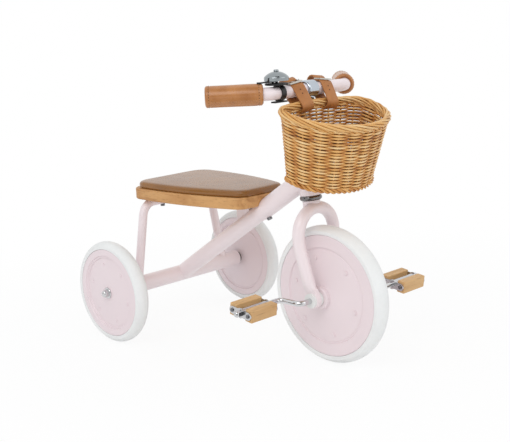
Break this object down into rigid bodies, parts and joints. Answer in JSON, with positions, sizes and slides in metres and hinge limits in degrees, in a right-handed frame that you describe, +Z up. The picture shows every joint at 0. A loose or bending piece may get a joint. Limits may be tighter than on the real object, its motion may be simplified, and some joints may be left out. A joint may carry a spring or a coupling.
{
  "type": "children's tricycle",
  "caption": "Child's tricycle with a tubular frame, disc wheels, padded wooden seat, pedals on the front axle, swept handlebar, bell and a wicker basket.",
  "frame": {"origin": "on the ground under the middle of the overall length, in the middle plane", "axes": "+X forward, +Y to the rider's left, +Z up; the three tyres stand on Z = 0"},
  "size_m": [0.635, 0.4072, 0.5265],
  "materials": {
    "pink_paint": "gloss",
    "pink_plastic": "satin",
    "white_tyre": "satin",
    "seat_wood": "oiled",
    "pad_cover": "satin",
    "grip_cover": "satin",
    "strap_leather": "satin",
    "wicker": "matte",
    "pedal_wood": "oiled",
    "chrome": "polished",
    "silver": "satin",
    "steel": "satin",
    "dark_steel": "satin",
    "white_plastic": "matte",
    "black_plastic": "matte",
    "buckle_metal": "satin"
  },
  "bodies": {
    "frame": {"axle_tube": "pink_paint", "main_tube": "pink_paint", "upper_tube": "pink_paint", "head_tube": "pink_paint", "seat_hoop": "pink_paint", "seat_bracket": "pink_paint", "seat_plank": "seat_wood", "seat_pad": "pad_cover", "seat_bolts": "dark_steel", "frame_clamp_bolt": "dark_steel", "rear_axle": "steel", "axle_bushes": "black_plastic", "rear_axle_washers": "chrome", "rear_axle_nuts": "chrome", "headset_ring": "chrome", "headset_bushes": "white_plastic"},
    "right rear wheel": {"right_rear_tyre": "white_tyre", "right_rear_disc_outer": "pink_plastic", "right_rear_disc_inner": "pink_plastic"},
    "left rear wheel": {"left_rear_tyre": "white_tyre", "left_rear_disc_outer": "pink_plastic", "left_rear_disc_inner": "pink_plastic"},
    "steering": {"fork": "pink_paint", "fork_bearings": "white_plastic", "steerer_tube": "pink_paint", "headset_locknut": "chrome", "stem": "silver", "stem_wedge": "steel", "stem_expander_bolt": "steel", "stem_clamp_bolt": "dark_steel", "handlebar": "pink_paint", "right_grip": "grip_cover", "left_grip": "grip_cover", "bell_clamp": "black_plastic", "bell_base": "black_plastic", "bell_dome": "silver", "bell_nut": "silver", "basket": "wicker", "right_strap": "strap_leather", "left_strap": "strap_leather", "right_buckle": "buckle_metal", "left_buckle": "buckle_metal"},
    "bell lever": {"bell_lever": "black_plastic"},
    "front wheel": {"front_tyre": "white_tyre", "front_disc_right": "pink_plastic", "front_disc_left": "pink_plastic", "front_disc_screws": "pink_plastic", "crank_axle": "chrome", "pedal_cap_nuts": "chrome"},
    "right pedal": {"right_pedal_blocks": "pedal_wood", "right_pedal_plates": "steel", "right_pedal_sleeve": "steel", "right_pedal_screws": "dark_steel"},
    "left pedal": {"left_pedal_blocks": "pedal_wood", "left_pedal_plates": "steel", "left_pedal_sleeve": "steel", "left_pedal_screws": "dark_steel"}
  },
  "joints": [
    {"name": "steering turn", "type": "hinge", "parent": "frame", "child": "steering", "pos_m": [0.1525, 0, 0.296], "axis": [-0.1219, 0, 0.9925], "range_deg": [-40, 40]},
    {"name": "front wheel roll", "type": "hinge", "parent": "steering", "child": "front wheel", "pos_m": [0.1925, 0, 0.125], "axis": [0, 1, 0], "continuous": true},
    {"name": "right pedal spin", "type": "hinge", "parent": "front wheel", "child": "right pedal", "pos_m": [0.1445, -0.1455, 0.125], "axis": [0, 1, 0], "continuous": true},
    {"name": "left pedal spin", "type": "hinge", "parent": "front wheel", "child": "left pedal", "pos_m": [0.2405, 0.1455, 0.125], "axis": [0, 1, 0], "continuous": true},
    {"name": "right rear wheel roll", "type": "hinge", "parent": "frame", "child": "right rear wheel", "pos_m": [-0.2175, -0.177, 0.1], "axis": [0, 1, 0], "continuous": true},
    {"name": "left rear wheel roll", "type": "hinge", "parent": "frame", "child": "left rear wheel", "pos_m": [-0.2175, 0.177, 0.1], "axis": [0, 1, 0], "continuous": true},
    {"name": "bell lever push", "type": "hinge", "parent": "steering", "child": "bell lever", "pos_m": [0.1465, -0.078, 0.506], "axis": [0, 0, 1], "range_deg": [0, 30], "stiffness_Nm_per_rad": 0.05}
  ]
}
